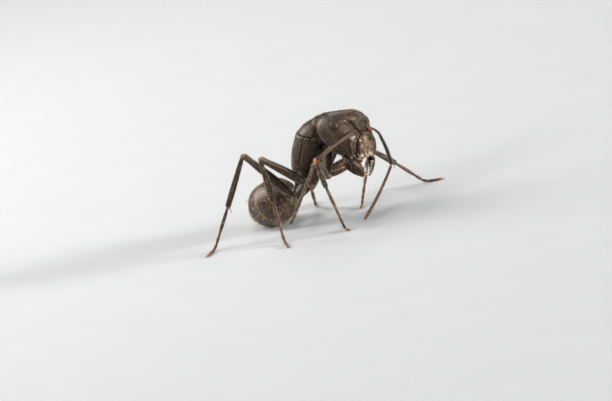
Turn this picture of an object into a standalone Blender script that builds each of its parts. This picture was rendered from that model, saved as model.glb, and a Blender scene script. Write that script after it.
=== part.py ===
"""A large black carpenter ant worker, life size, feeding with its head bent down.

Lengths below are millimetres and angles are degrees, turned into metres where meshes are made.
The ant heads along -Y, its left is +X, and it stands on the plane z = 0.
"""
import math

import bmesh
import bpy
from mathutils import Euler, Matrix, Vector
from mathutils.geometry import intersect_point_line

MM = 0.001
GAP = 0.05  # slit between neighbouring plates

# Trunk: rear end of the propodeum, and how far its long axis rears up
TRUNK_LENGTH = 4.5
TRUNK_REAR = Vector((0.0, 0.0, 2.15))
TRUNK_REARING = 50
NECK = Vector((-0.19, -4.02, -0.10))  # in the trunk's own frame
TRUNK_CUTS = (3.05, 1.55)  # behind the pronotum, and behind the mesonotum

# Head: turned down and to the ant's right
HEAD_LENGTH = 3.05
HEAD_TURN = (61, 14, -15)
HEAD_TO_NECK = (-0.37, -0.31)  # forward and up from the head's middle, in head lengths
EYE_SEAT = (-0.135, 0.438, 0.15)  # forward, sideways and up, in head lengths
EYE_SIZE = (0.17, 0.30, 0.24)  # half depth, half length and half height
SOCKET_SEAT = (0.11, 0.155, 0.32)

# Feelers
SCAPE_LENGTH = 3.3
SCAPE_WAY = {"right": (-123, -12), "left": (103, -54)}  # heading from -Y toward +X, then lift
SCAPE_BOW = {"right": 0.25, "left": 0.12}
FUNICULUS_LENGTH = 4.0
FUNICULUS_WAY = {"right": (170, -51), "left": (-101, -25)}
FEELER_RADIUS = 0.26

# Waist and gaster: swung to the left and let down until the belly touches the floor
PETIOLE_WAY = (14, -33)  # heading from +Y toward +X, then lift
GASTER_LENGTH = 4.3
GASTER_WAY = (40, -20)
GASTER_START = Vector((0.285, 0.72, 1.94))
GASTER_CUTS = (0.33, 0.57, 0.77, 0.91)

# Legs: bases in the trunk's frame (forward, outward, up), lengths of coxa, femur, tibia and tarsus,
# and the coxa's radius and how far from its base its solid starts, clear of the trunk
LEGS = {
    "front": {"base": (3.0, 0.46, -0.75), "lengths": (1.4, 2.75, 2.3, 3.0), "coxa": (0.34, 0.20)},
    "middle": {"base": (1.95, 0.62, -0.60), "lengths": (1.0, 3.15, 2.5, 3.45), "coxa": (0.32, 0.25)},
    "hind": {"base": (0.85, 0.44, -0.50), "lengths": (1.0, 3.6, 3.2, 3.7), "coxa": (0.34, 0.25)},
}
# Stance: heading from straight ahead toward the leg's own side, then lift, of each piece;
# the tarsus goes down to the floor at that lift, and the rest of it lies flat at the last heading
STANCE = {
    ("front", "right"): ((94, -56), (74, 33), (-109, -51), (-68, -78), 51),
    ("front", "left"): ((-142, -57), (48, 4), (81, -36), (50, -46), 5),
    ("middle", "right"): ((125, -57), (142, 45), (-109, -79), (66, -84), 60),
    ("middle", "left"): ((143, -79), (55, 8), (129, -29), (-84, -26), -78),
    ("hind", "right"): ((146, -38), (151, 56), (-169, -55), (-173, -54), 89),
    ("hind", "left"): ((137, -44), (100, 47), (-94, -66), (115, -33), 115),
}
FEMUR_RADII = (0.27, 0.32, 0.32, 0.27)
TIBIA_RADII = (0.26, 0.28, 0.26)
TARSUS_RADIUS = 0.25
JOINT_REACH = 0.1  # how far a limb's round end passes its joint
FOOT_HEIGHT = 0.19  # centre line of a foot that lies flat, so that its sole is cut level


# ---------------------------------------------------------------- helpers

def material(name, colour, roughness):
    made = bpy.data.materials.new(name)
    made.use_nodes = True
    shader = made.node_tree.nodes["Principled BSDF"]
    shader.inputs["Base Color"].default_value = (*colour, 1.0)
    shader.inputs["Roughness"].default_value = roughness
    shader.inputs["Metallic"].default_value = 0.0
    return made


def smooth(keys, place):
    """Read a smooth curve through the (place, value) keys."""
    places = [key[0] for key in keys]
    last = len(keys) - 2
    low = min(max(sum(place >= p for p in places) - 1, 0), last)

    def slope(index):
        before, after = max(index - 1, 0), min(index + 1, len(keys) - 1)
        return (keys[after][1] - keys[before][1]) / (keys[after][0] - keys[before][0])

    span = places[low + 1] - places[low]
    t = min(max((place - places[low]) / span, 0.0), 1.0)
    start, end = keys[low][1], keys[low + 1][1]
    return ((2 * t**3 - 3 * t**2 + 1) * start + (t**3 - 2 * t**2 + t) * span * slope(low)
            + (3 * t**2 - 2 * t**3) * end + (t**3 - t**2) * span * slope(low + 1))


def direction(heading, lift, ahead=-1, side=1):
    """Unit vector at a heading turned from the Y axis toward the given side, raised by lift."""
    turn, rise = math.radians(heading), math.radians(lift)
    return Vector((side * math.sin(turn) * math.cos(rise), ahead * math.cos(turn) * math.cos(rise),
                   math.sin(rise)))


def steps(start, end, count):
    return [start + (end - start) * i / (count - 1) for i in range(count)]


def oval(middle, half_width, top, bottom, sides, upper=1.0, lower=1.0):
    """Ring across Y: an oval whose upper and lower halves differ, each boxier as its number drops."""
    points = []
    for i in range(sides):
        turn = 2 * math.pi * (i + 0.5) / sides
        fullness = upper if math.sin(turn) > 0 else lower
        across = math.copysign(abs(math.cos(turn)) ** fullness, math.cos(turn))
        up = math.copysign(abs(math.sin(turn)) ** fullness, math.sin(turn))
        points.append(middle + Vector((half_width * across, 0.0, (top if up > 0 else bottom) * up)))
    return points


def skin(name, rings, look, parent, location=Vector()):
    """Close a run of rings, given in millimetres, into one solid with a tip at both ends."""
    mesh = bmesh.new()
    loops = [[mesh.verts.new((point - location) * MM) for point in ring] for ring in rings]
    for ahead, behind in zip(loops, loops[1:]):
        for i in range(len(ahead)):
            j = (i + 1) % len(ahead)
            mesh.faces.new((ahead[i], ahead[j], behind[j], behind[i]))
    for loop in (loops[0], loops[-1]):
        tip = mesh.verts.new(sum((vertex.co for vertex in loop), Vector()) / len(loop))
        for i in range(len(loop)):
            mesh.faces.new((loop[i], loop[(i + 1) % len(loop)], tip))
    bmesh.ops.recalc_face_normals(mesh, faces=mesh.faces)
    data = bpy.data.meshes.new(name)
    mesh.to_mesh(data)
    mesh.free()
    data.materials.append(look)
    data.shade_smooth()
    data.set_sharp_from_angle(angle=math.radians(40))
    solid = bpy.data.objects.new(name, data)
    bpy.context.scene.collection.objects.link(solid)
    solid.parent = parent
    solid.location = location * MM
    return solid


def frame(name, matrix, parent=None):
    """Empty that holds a region's own axes: -Y ahead, +X left, +Z toward its back."""
    empty = bpy.data.objects.new(name, None)
    bpy.context.scene.collection.objects.link(empty)
    empty.parent = parent
    moved = matrix.copy()
    moved.translation = matrix.translation * MM
    empty.matrix_local = moved
    return empty


def standoff(start, joint, after, radius, next_radius):
    """How far past a joint a round-ended limb starts, to clear the limb that ends at the joint."""
    centre = joint - (joint - start).normalized() * (radius - JOINT_REACH)
    along = (after - joint).normalized()
    distance = 0.0
    while distance < 2.0:
        point = joint + along * (distance + next_radius)
        nearest, share = intersect_point_line(point, start, centre)
        nearest = start if share < 0 else centre if share > 1 else nearest
        if (point - nearest).length > radius + next_radius + GAP:
            break
        distance += 0.01
    return distance


def rounded(path, radii):
    """Add a small ring before and after a path, so that its limb has round ends."""
    first, last = (path[1] - path[0]).normalized(), (path[-1] - path[-2]).normalized()
    near, far = radii[0], radii[-1]
    inner = [path[0] + first * near] + list(path[1:-1]) + [path[-1] - last * far]
    ends = ([path[0] + first * near * 0.13], [path[-1] - last * far * 0.13])
    return ends[0] + inner + ends[1], [near * 0.5] + list(radii) + [far * 0.5]


def tube(path, radii, sides):
    """Rings of the given radii, square to a path of points."""
    rings = []
    side = None
    for i, point in enumerate(path):
        along = (path[min(i + 1, len(path) - 1)] - path[max(i - 1, 0)]).normalized()
        side = along.orthogonal() if side is None else side
        side = (side - along * side.dot(along)).normalized()
        up = along.cross(side)
        turns = [2 * math.pi * k / sides for k in range(sides)]
        rings.append([point + (side * math.cos(t) + up * math.sin(t)) * radii[i] for t in turns])
    return rings


def bowed(start, end, bow, count):
    """Points of a limb from start to end, bent sideways by the vector bow at its middle."""
    return [start.lerp(end, t) + bow * (4 * t * (1 - t)) for t in steps(0.0, 1.0, count)]


def lay_flat(solid, matrix):
    """Cut a small level sole where the solid meets the floor."""
    back = matrix.inverted()
    for vertex in solid.data.vertices:
        place = matrix @ (vertex.co / MM + solid.location / MM)
        if place.z < 0:
            place.z = 0.0
            vertex.co = (back @ place) * MM - solid.location


# ---------------------------------------------------------------- trunk

TRUNK_WIDTH = ((0.0, 0.28), (0.4, 0.50), (1.1, 0.62), (2.0, 0.76), (2.9, 0.96), (3.5, 0.98),
               (3.9, 0.80), (4.25, 0.50), (4.5, 0.30))
TRUNK_LIFT = ((0.0, 0.0), (2.4, 0.0), (3.0, 0.06), (3.5, 0.18), (3.9, 0.26), (4.5, 0.30))
TRUNK_TOP = ((0.0, 0.02), (0.35, 0.16), (0.7, 0.44), (1.5, 0.92), (2.1, 1.1), (2.8, 1.15),
             (3.4, 0.91), (3.9, 0.54), (4.25, 0.27), (4.5, 0.08))
TRUNK_BOTTOM = ((0.0, 0.26), (0.6, 0.46), (2.0, 0.54), (3.0, 0.52), (3.5, 0.46), (3.9, 0.38),
                (4.25, 0.28), (4.5, 0.18))
TRUNK_FULLNESS = 0.92


def trunk_plates(axes, look):
    edges = (TRUNK_LENGTH,) + TRUNK_CUTS + (0.0,)
    for name, front, rear in zip(("pronotum", "mesonotum", "propodeum"), edges, edges[1:]):
        front -= GAP / 2 if front < TRUNK_LENGTH else 0.0
        rear += GAP / 2 if rear > 0 else 0.0
        rings = [oval(Vector((0, -s, smooth(TRUNK_LIFT, s))), smooth(TRUNK_WIDTH, s),
                      smooth(TRUNK_TOP, s), smooth(TRUNK_BOTTOM, s), 20, TRUNK_FULLNESS, TRUNK_FULLNESS)
                 for s in steps(front, rear, 8)]
        skin(name, rings, look, axes)


# ---------------------------------------------------------------- head

HEAD_WIDTH = ((0.0, 0.15), (0.03, 0.27), (0.08, 0.39), (0.16, 0.475), (0.28, 0.515), (0.40, 0.51),
              (0.52, 0.485), (0.66, 0.45), (0.80, 0.405), (0.90, 0.35), (0.965, 0.27))
HEAD_TOP = ((0.0, -0.02), (0.04, 0.08), (0.10, 0.19), (0.25, 0.33), (0.40, 0.335), (0.58, 0.30),
            (0.74, 0.26), (0.88, 0.20), (0.965, 0.13))
HEAD_BOTTOM = ((0.0, 0.13), (0.06, 0.20), (0.14, 0.255), (0.28, 0.29), (0.50, 0.27), (0.70, 0.24),
               (0.86, 0.17), (0.965, 0.10))
HEAD_FULLNESS = (0.86, 0.66)  # of the upper and lower halves
OCCIPUT_DIP = 0.045  # how far the back edge is hollowed at its middle
MOUTH_RECESS = 0.10  # how far the mouth lies back under the face's front edge


def head_solid(axes, look):
    rings = []
    for s in [0.0, 0.03] + steps(0.08, 0.965, 15):
        ring = oval(Vector((0, 0.5 - s, 0)), smooth(HEAD_WIDTH, s), smooth(HEAD_TOP, s),
                    smooth(HEAD_BOTTOM, s), 24, *HEAD_FULLNESS)
        for point in ring:
            point.y -= OCCIPUT_DIP * math.exp(-(point.x / 0.2) ** 2) * max(0.0, 1 - 4 * s)
            under = min(max((0.06 - point.z) / 0.12, 0.0), 1.0)
            point.y += MOUTH_RECESS * under**2 * (3 - 2 * under) * max(0.0, s - 0.7) / 0.265
        rings.append([point * HEAD_LENGTH for point in ring])
    return skin("head", rings, look, axes)


def eye(side, axes, head, look):
    """Oval eye, let into a hollow cut for it in the side of the head."""
    sign = 1 if side == "left" else -1
    ahead, out, up = (HEAD_LENGTH * share for share in EYE_SEAT)
    seat = Matrix.Translation(Vector((sign * out, -ahead, up)) * MM)
    seat @= Matrix.Rotation(math.radians(sign * -32), 4, "Y")
    for name, spare in ((f"eye_{side}", 0.0), (f"eye_hollow_{side}", GAP)):
        ball = bmesh.new()
        bmesh.ops.create_uvsphere(ball, u_segments=14, v_segments=9, radius=1.0)
        for vertex in ball.verts:
            vertex.co = Vector([(half + spare) * MM * part for half, part in zip(EYE_SIZE, vertex.co)])
        data = bpy.data.meshes.new(name)
        ball.to_mesh(data)
        ball.free()
        data.materials.append(look)
        data.shade_smooth()
        solid = bpy.data.objects.new(name, data)
        bpy.context.scene.collection.objects.link(solid)
        solid.parent = axes
        solid.matrix_local = seat
    solid.hide_render = True
    solid.display_type = "WIRE"
    hollow = head.modifiers.new(name, "BOOLEAN")
    hollow.operation = "DIFFERENCE"
    hollow.solver = "EXACT"
    hollow.object = solid


# Mandible, a broad blade that leans outward: place ahead of the head's middle, place of its middle
# line outward and down, half width and half thickness, all in head lengths
MANDIBLE = ((0.41, 0.302, 0.068, 0.062, 0.048), (0.455, 0.297, 0.058, 0.092, 0.058),
            (0.51, 0.280, 0.045, 0.120, 0.062), (0.575, 0.252, 0.040, 0.136, 0.057),
            (0.64, 0.212, 0.042, 0.128, 0.048), (0.695, 0.175, 0.050, 0.102, 0.040),
            (0.74, 0.140, 0.060, 0.068, 0.032), (0.78, 0.112, 0.075, 0.028, 0.020))
MANDIBLE_LEAN = 45


def mandible(side, axes, look):
    sign = 1 if side == "left" else -1
    lean = Matrix.Rotation(math.radians(sign * MANDIBLE_LEAN), 3, "Y")
    rings = [[(Vector((sign * out, -ahead, -drop)) + lean @ point) * HEAD_LENGTH
              for point in oval(Vector(), width, thick, thick, 12)]
             for ahead, out, drop, width, thick in MANDIBLE]
    skin(f"mandible_{side}", rings, look, axes)


MOUTHPARTS = ((0.42, 0.10, 0.05), (0.48, 0.10, 0.06), (0.54, 0.085, 0.055), (0.59, 0.05, 0.035))
MOUTHPARTS_DROP = 0.08


def mouthparts(axes, look):
    rings = [[point * HEAD_LENGTH for point in oval(Vector((0, -ahead, -MOUTHPARTS_DROP)), width, thick,
                                                   thick * 0.8, 10)] for ahead, width, thick in MOUTHPARTS]
    skin("mouthparts", rings, look, axes)


def feeler(side, turned, root, look):
    """Scape and funiculus, jointed at the elbow."""
    sign = 1 if side == "left" else -1
    ahead, out, up = (HEAD_LENGTH * share for share in SOCKET_SEAT)
    raised = up + FEELER_RADIUS + GAP
    start = turned @ Vector((sign * out, -ahead, raised))
    elbow = start + direction(*SCAPE_WAY[side]) * SCAPE_LENGTH
    tip = elbow + direction(*FUNICULUS_WAY[side]) * FUNICULUS_LENGTH
    after = standoff(start, elbow, tip, FEELER_RADIUS, FEELER_RADIUS)
    bow = turned.to_3x3() @ Vector((sign * 0.48, 0.0, 0.88)) * SCAPE_BOW[side]
    scape = bowed(start, elbow, bow, 8)
    lash = bowed(elbow.lerp(tip, after / FUNICULUS_LENGTH), tip, Vector((sign * 0.15, 0.0, -0.1)), 9)
    for name, path in (("scape", scape), ("funiculus", lash)):
        rings = tube(*rounded(path, [FEELER_RADIUS] * len(path)), 8)
        skin(f"{name}_{side}", rings, look, root, path[0])


# ---------------------------------------------------------------- waist and gaster

PETIOLE = ((0.0, 0.16, 0.12, 0.12), (0.16, 0.24, 0.26, 0.20), (0.32, 0.42, 0.60, 0.27),
           (0.44, 0.45, 0.70, 0.28), (0.54, 0.36, 0.42, 0.25), (0.62, 0.20, 0.16, 0.16))
GASTER_WIDTH = ((0.0, 0.14), (0.04, 0.50), (0.12, 0.88), (0.25, 1.18), (0.42, 1.29), (0.58, 1.25),
                (0.74, 1.00), (0.88, 0.60), (0.96, 0.30), (1.0, 0.10))
GASTER_DEPTH = 0.95  # height as a share of the width


def aft_frame(name, start, way, root):
    """Axes that run backward along +Y at the given heading and lift."""
    heading, lift = way
    turn = Euler((math.radians(lift), 0.0, -math.radians(heading)), "XYZ").to_matrix().to_4x4()
    matrix = Matrix.Translation(start) @ turn
    return frame(name, matrix, root), matrix


def petiole(root, look):
    start = TRUNK_REAR + direction(PETIOLE_WAY[0], PETIOLE_WAY[1], ahead=1) * 2 * GAP
    axes, _ = aft_frame("petiole_axes", start, PETIOLE_WAY, root)
    rings = [oval(Vector((0, s, 0)), width, top, bottom, 14) for s, width, top, bottom in PETIOLE]
    skin("petiole", rings, look, axes)


def gaster(root, look):
    axes, matrix = aft_frame("gaster_axes", GASTER_START, GASTER_WAY, root)
    edges = (0.0,) + GASTER_CUTS + (1.0,)
    slit = GAP / GASTER_LENGTH / 2
    for number, (front, rear) in enumerate(zip(edges, edges[1:]), 1):
        front += slit if front > 0 else 0.0
        rear -= slit if rear < 1 else 0.0
        places = [0.0, 0.03] + steps(0.08, rear, 6) if number == 1 else steps(front, rear, 5)
        rings = [oval(Vector((0, s * GASTER_LENGTH, 0)), smooth(GASTER_WIDTH, s),
                      smooth(GASTER_WIDTH, s) * GASTER_DEPTH, smooth(GASTER_WIDTH, s) * GASTER_DEPTH, 24)
                 for s in places]
        lay_flat(skin(f"gaster_{number}", rings, look, axes), matrix)


# ---------------------------------------------------------------- legs

def leg(pair, side, trunk, root, looks):
    """Coxa, femur with its trochanter, tibia, and a tarsus that ends flat on the floor."""
    sign = 1 if side == "left" else -1
    ahead, out, up = LEGS[pair]["base"]
    coxa_way, femur_way, tibia_way, tarsus_way, foot_heading = STANCE[pair, side]
    coxa_length, femur_length, tibia_length, tarsus_length = LEGS[pair]["lengths"]
    base = trunk @ Vector((sign * out, -ahead, up))
    hip = base + direction(*coxa_way, side=sign) * coxa_length
    knee = hip + direction(*femur_way, side=sign) * femur_length
    ankle = knee + direction(*tibia_way, side=sign) * tibia_length
    down = direction(*tarsus_way, side=sign)
    drop = (FOOT_HEIGHT - ankle.z) / down.z
    ball = ankle + down * drop
    toe = ball + direction(foot_heading, 0, side=sign) * (tarsus_length - drop)

    after_hip = standoff(base, hip, knee, FEMUR_RADII[0], FEMUR_RADII[0])
    after_knee = standoff(hip, knee, ankle, FEMUR_RADII[-1], TIBIA_RADII[0])
    after_ankle = standoff(knee, ankle, ball, TIBIA_RADII[-1], TARSUS_RADIUS)

    def piece(name, start, end, inset, radii, look):
        along = (end - start).normalized()
        path = bowed(start + along * inset, end + along * JOINT_REACH, Vector(), len(radii))
        skin(f"{pair}_{name}_{side}", tube(*rounded(path, radii), 10), look, root, path[0])

    radius, clear_of_trunk = LEGS[pair]["coxa"]
    coxa_radii = (radius * 0.8, radius, radius * 0.95, FEMUR_RADII[0])
    piece("coxa", base, hip, clear_of_trunk, coxa_radii, looks["coxa"])
    piece("femur", hip, knee, after_hip, FEMUR_RADII, looks["leg"])
    piece("tibia", knee, ankle, after_knee, TIBIA_RADII, looks["leg"])
    path = [ankle.lerp(ball, after_ankle / drop), ankle.lerp(ball, 0.92), ball.lerp(toe, 0.2), toe]
    rings = tube(*rounded(path, [TARSUS_RADIUS] * len(path)), 10)
    lay_flat(skin(f"{pair}_tarsus_{side}", rings, looks["foot"], root, path[0]), Matrix())


def centre_on_floor(root):
    """Move the model so that the middle of its footprint is the origin."""
    bpy.context.view_layer.update()
    points = [solid.matrix_world @ vertex.co for solid in bpy.context.scene.objects
              if solid.type == "MESH" and not solid.hide_render for vertex in solid.data.vertices]
    for axis in (0, 1):
        values = [point[axis] for point in points]
        root.location[axis] = -(min(values) + max(values)) / 2


# ---------------------------------------------------------------- the ant

for old in list(bpy.data.objects):
    bpy.data.objects.remove(old, do_unlink=True)

shell = material("black_cuticle", (0.022, 0.017, 0.014), 0.32)
legs = material("dark_brown_cuticle", (0.045, 0.022, 0.014), 0.35)
feet = material("reddish_cuticle", (0.12, 0.04, 0.018), 0.4)
jaws = material("jaw_cuticle", (0.03, 0.016, 0.011), 0.3)
soft = material("mouthpart_cuticle", (0.22, 0.09, 0.035), 0.45)
eyes = material("eye", (0.012, 0.010, 0.010), 0.25)

ant = frame("ant", Matrix())
rearing = Matrix.Rotation(math.radians(-TRUNK_REARING), 4, "X")
trunk = Matrix.Translation(TRUNK_REAR) @ rearing
trunk_plates(frame("trunk_axes", trunk, ant), shell)

turned = Euler([math.radians(angle) for angle in HEAD_TURN], "XYZ").to_matrix().to_4x4()
to_neck = Vector((0.0, -HEAD_TO_NECK[0], HEAD_TO_NECK[1])) * HEAD_LENGTH
turned.translation = trunk @ NECK - turned @ to_neck
head_axes = frame("head_axes", turned, ant)
head = head_solid(head_axes, shell)
mouthparts(head_axes, soft)
petiole(ant, shell)
gaster(ant, shell)
for side in ("right", "left"):
    eye(side, head_axes, head, eyes)
    mandible(side, head_axes, jaws)
    feeler(side, turned, ant, legs)
    for pair in LEGS:
        leg(pair, side, trunk, ant, {"coxa": shell, "leg": legs, "foot": feet})
centre_on_floor(ant)
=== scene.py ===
"""A large black carpenter ant worker, life size, standing with its head bent down to feed.

Lengths are millimetres and angles are degrees until a mesh is written, in metres.
The ant heads along -Y, its left is +X, and it stands on the plane z = 0.
"""
import math

import bpy
import numpy as np
from mathutils import Euler, Matrix, Vector
from mathutils.kdtree import KDTree


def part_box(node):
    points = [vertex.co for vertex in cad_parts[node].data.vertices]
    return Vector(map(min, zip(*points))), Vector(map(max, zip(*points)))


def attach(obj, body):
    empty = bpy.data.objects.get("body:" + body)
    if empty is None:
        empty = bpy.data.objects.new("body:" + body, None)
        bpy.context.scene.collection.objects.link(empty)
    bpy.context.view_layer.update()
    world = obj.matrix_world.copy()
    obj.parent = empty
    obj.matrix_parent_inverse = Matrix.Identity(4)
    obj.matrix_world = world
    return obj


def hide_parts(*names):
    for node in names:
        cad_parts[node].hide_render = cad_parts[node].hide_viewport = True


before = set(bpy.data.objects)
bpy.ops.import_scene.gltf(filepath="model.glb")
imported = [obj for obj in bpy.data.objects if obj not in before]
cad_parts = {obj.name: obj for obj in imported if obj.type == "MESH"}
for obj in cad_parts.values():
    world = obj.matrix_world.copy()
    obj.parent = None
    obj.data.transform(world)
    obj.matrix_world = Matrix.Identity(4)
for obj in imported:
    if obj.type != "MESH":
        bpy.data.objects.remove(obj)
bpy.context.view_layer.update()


# ---------------------------------------------------------------- head capsule
# One hard shell, widest behind the eyes, satin with a fine net of cells. It carries the ridges that
# guard the feeler sockets, the keeled face shield over the jaws, and the seats of the two eyes.

MM = 0.001
HEAD_LENGTH = 3.05
HEAD_TURN = (61, 14, -15)
EYE_SEAT = (-0.135, 0.438, 0.15)  # ahead of the head's middle, out and up, in head lengths
EYE_HALF = (0.17, 0.30, 0.24)  # half depth, half length and half height
EYE_TILT = 32
HEAD_END = 0.965
HEAD_WIDTH = ((0.0, 0.15), (0.03, 0.27), (0.08, 0.39), (0.16, 0.475), (0.28, 0.515), (0.40, 0.51),
              (0.52, 0.485), (0.66, 0.45), (0.80, 0.405), (0.90, 0.35), (0.965, 0.27))
HEAD_TOP = ((0.0, -0.02), (0.04, 0.08), (0.10, 0.19), (0.25, 0.33), (0.40, 0.335), (0.58, 0.30),
            (0.74, 0.26), (0.88, 0.20), (0.965, 0.13))
HEAD_BOTTOM = ((0.0, 0.13), (0.06, 0.20), (0.14, 0.255), (0.28, 0.29), (0.50, 0.27), (0.70, 0.24),
               (0.86, 0.17), (0.965, 0.10))
HEAD_FULLNESS = (0.86, 0.66)  # of the upper and lower halves
OCCIPUT_DIP = 0.045  # how far the back edge is hollowed at its middle
MOUTH_RECESS = 0.10  # how far the mouth lies back under the face's front edge
SOCKET = (0.11, 0.19, 0.285)  # ahead, out and up, in head lengths
COAT_DEPTH = 0.012  # the shell lies this far inside the solid, to leave room for the down
# Half width of the face shield at places ahead of the head's middle, in head lengths
SHIELD = ((0.165, 0.0), (0.185, 0.065), (0.22, 0.115), (0.28, 0.155), (0.36, 0.175), (0.44, 0.180),
          (0.50, 0.180))
SHIELD_START = 0.175
FACE_HALF = 0.36  # half width of the smooth face round the shield
SHIELD_GRAIN = 40.0  # height of the grain where the shell is polished, against its net of cells
POLISH_GAIN = 0.72  # share of the roughness that full polish takes away
GLINT_GAIN = 5.0  # how much paler the painted highlight specks of the polished face are


def middle(node):
    low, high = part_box(node)
    return (low + high) / (2 * MM)


class Axes:
    """A region's own axes: -Y ahead, +X left, +Z toward its back."""

    def __init__(self, turn, origin):
        self.turn = turn
        self.origin = origin

    def world(self, point):
        return self.turn @ Vector(point) + self.origin

    def way(self, direction):
        return self.turn @ Vector(direction)

    def placed(self, points):
        return points @ np.array(self.turn).T + np.array(self.origin)

    def own(self, points):
        """Placed points back in the region's own axes."""
        return (points - np.array(self.origin)) @ np.array(self.turn)

    def skin(self, surface):
        """A surface of the region's own axes, placed."""
        return lambda share, turn: self.placed(surface(share, turn))


def read(keys, place):
    """Read a smooth curve through the (place, value) keys at an array of places."""
    spots, values = (np.array(column, float) for column in zip(*keys))
    slopes = np.empty(len(spots))
    slopes[1:-1] = (values[2:] - values[:-2]) / (spots[2:] - spots[:-2])
    slopes[0] = (values[1] - values[0]) / (spots[1] - spots[0])
    slopes[-1] = (values[-1] - values[-2]) / (spots[-1] - spots[-2])
    low = np.clip(np.searchsorted(spots, place, side="right") - 1, 0, len(spots) - 2)
    span = spots[low + 1] - spots[low]
    t = np.clip((place - spots[low]) / span, 0.0, 1.0)
    return ((2 * t**3 - 3 * t**2 + 1) * values[low] + (t**3 - 2 * t**2 + t) * span * slopes[low]
            + (3 * t**2 - 2 * t**3) * values[low + 1] + (t**3 - t**2) * span * slopes[low + 1])


def read_table(table, place):
    """Read each further column of a table at places in its first column."""
    spots, *rest = zip(*table)
    return [read(zip(spots, values), place) for values in rest]


def hump(distance, width):
    """A smooth rise, 1 at no distance and near 0 past two widths."""
    return np.exp(-(distance / width) ** 2)


def step(value, edge, softness):
    """0 below the edge and 1 above it, with a soft change."""
    t = np.clip((value - edge) / softness + 0.5, 0.0, 1.0)
    return t * t * (3 - 2 * t)


def powered(value, power):
    return np.copysign(np.abs(value) ** power, value)


def columns(x, y, z):
    return np.stack(np.broadcast_arrays(x, y, z), axis=-1).astype(float)


def capped(share, cap):
    """Split a run from pole to pole into the run between its caps and how far these have opened."""
    run = np.clip((share - cap) / (1 - 2 * cap), 0.0, 1.0)
    shut = 1 - np.clip(np.minimum(share, 1 - share) / cap, 0.0, 1.0)
    return run, np.sqrt(1 - shut**2)


def normals(place, share, turn, stride=1e-3):
    """Outward normal and run of a surface, and how much area one step of share and turn covers."""
    before, after = np.maximum(share - stride, 0.0), np.minimum(share + stride, 1.0)
    along = place(after, turn) - place(before, turn)
    around = place(share, turn + stride) - place(share, turn - stride)
    across = np.cross(along, around)
    area = np.linalg.norm(across, axis=1)
    across /= np.maximum(area, 1e-12)[:, None]
    here = place(share, turn)
    if np.sum(across * (here - here.mean(0))) < 0:
        across = -across
    along /= np.maximum(np.linalg.norm(along, axis=1), 1e-12)[:, None]
    return here, across, along, area


def lifted(place, relief):
    """Raise or sink a surface along its own normal by relief(share, turn, point)."""
    def moved(share, turn):
        here, outward, _, _ = normals(place, share, turn)
        return here + outward * relief(share, turn, here)[:, None]
    return moved


def points_of(piece):
    points = np.empty(len(piece.data.vertices) * 3)
    piece.data.vertices.foreach_get("co", points)
    return points.reshape(-1, 3)


def mark(piece, name, values):
    """Keep a value at each point, which a finish reads by its name."""
    marks = piece.data.attributes.new(name, "FLOAT", "POINT")
    marks.data.foreach_set("value", values.astype(np.float32))


def face_outward(piece):
    bpy.ops.object.select_all(action="DESELECT")
    bpy.context.view_layer.objects.active = piece
    piece.select_set(True)
    bpy.ops.object.mode_set(mode="EDIT")
    bpy.ops.mesh.select_all(action="SELECT")
    bpy.ops.mesh.normals_make_consistent(inside=False)
    bpy.ops.object.mode_set(mode="OBJECT")
    bpy.ops.object.shade_smooth()


def modelled(name, around, along, place):
    """Shape a ball by moving its points to place(share, turn): share runs from pole to pole."""
    bpy.ops.object.select_all(action="DESELECT")
    bpy.ops.mesh.primitive_uv_sphere_add(segments=around, ring_count=along, radius=1.0)
    piece = bpy.context.object
    piece.name = piece.data.name = name
    points = points_of(piece)
    share = np.arccos(np.clip(points[:, 2], -1.0, 1.0)) / math.pi
    turn = np.arctan2(points[:, 1], points[:, 0])
    piece.data.vertices.foreach_set("co", (place(share, turn) * MM).ravel())
    mark(piece, "along", share)
    face_outward(piece)
    return piece


def joined(name, pieces):
    """Join pieces into one mesh."""
    bpy.ops.object.select_all(action="DESELECT")
    for piece in pieces:
        piece.select_set(True)
    bpy.context.view_layer.objects.active = pieces[0]
    bpy.ops.object.join()
    pieces[0].name = pieces[0].data.name = name
    return pieces[0]


def fixed(piece, look, slot, *nodes):
    """Give a piece its finish, and fix it to the ant in place of its plain solids."""
    piece.data.materials.clear()
    piece.data.materials.append(look)
    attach(piece, "root")
    if nodes:
        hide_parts(*nodes)


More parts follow.
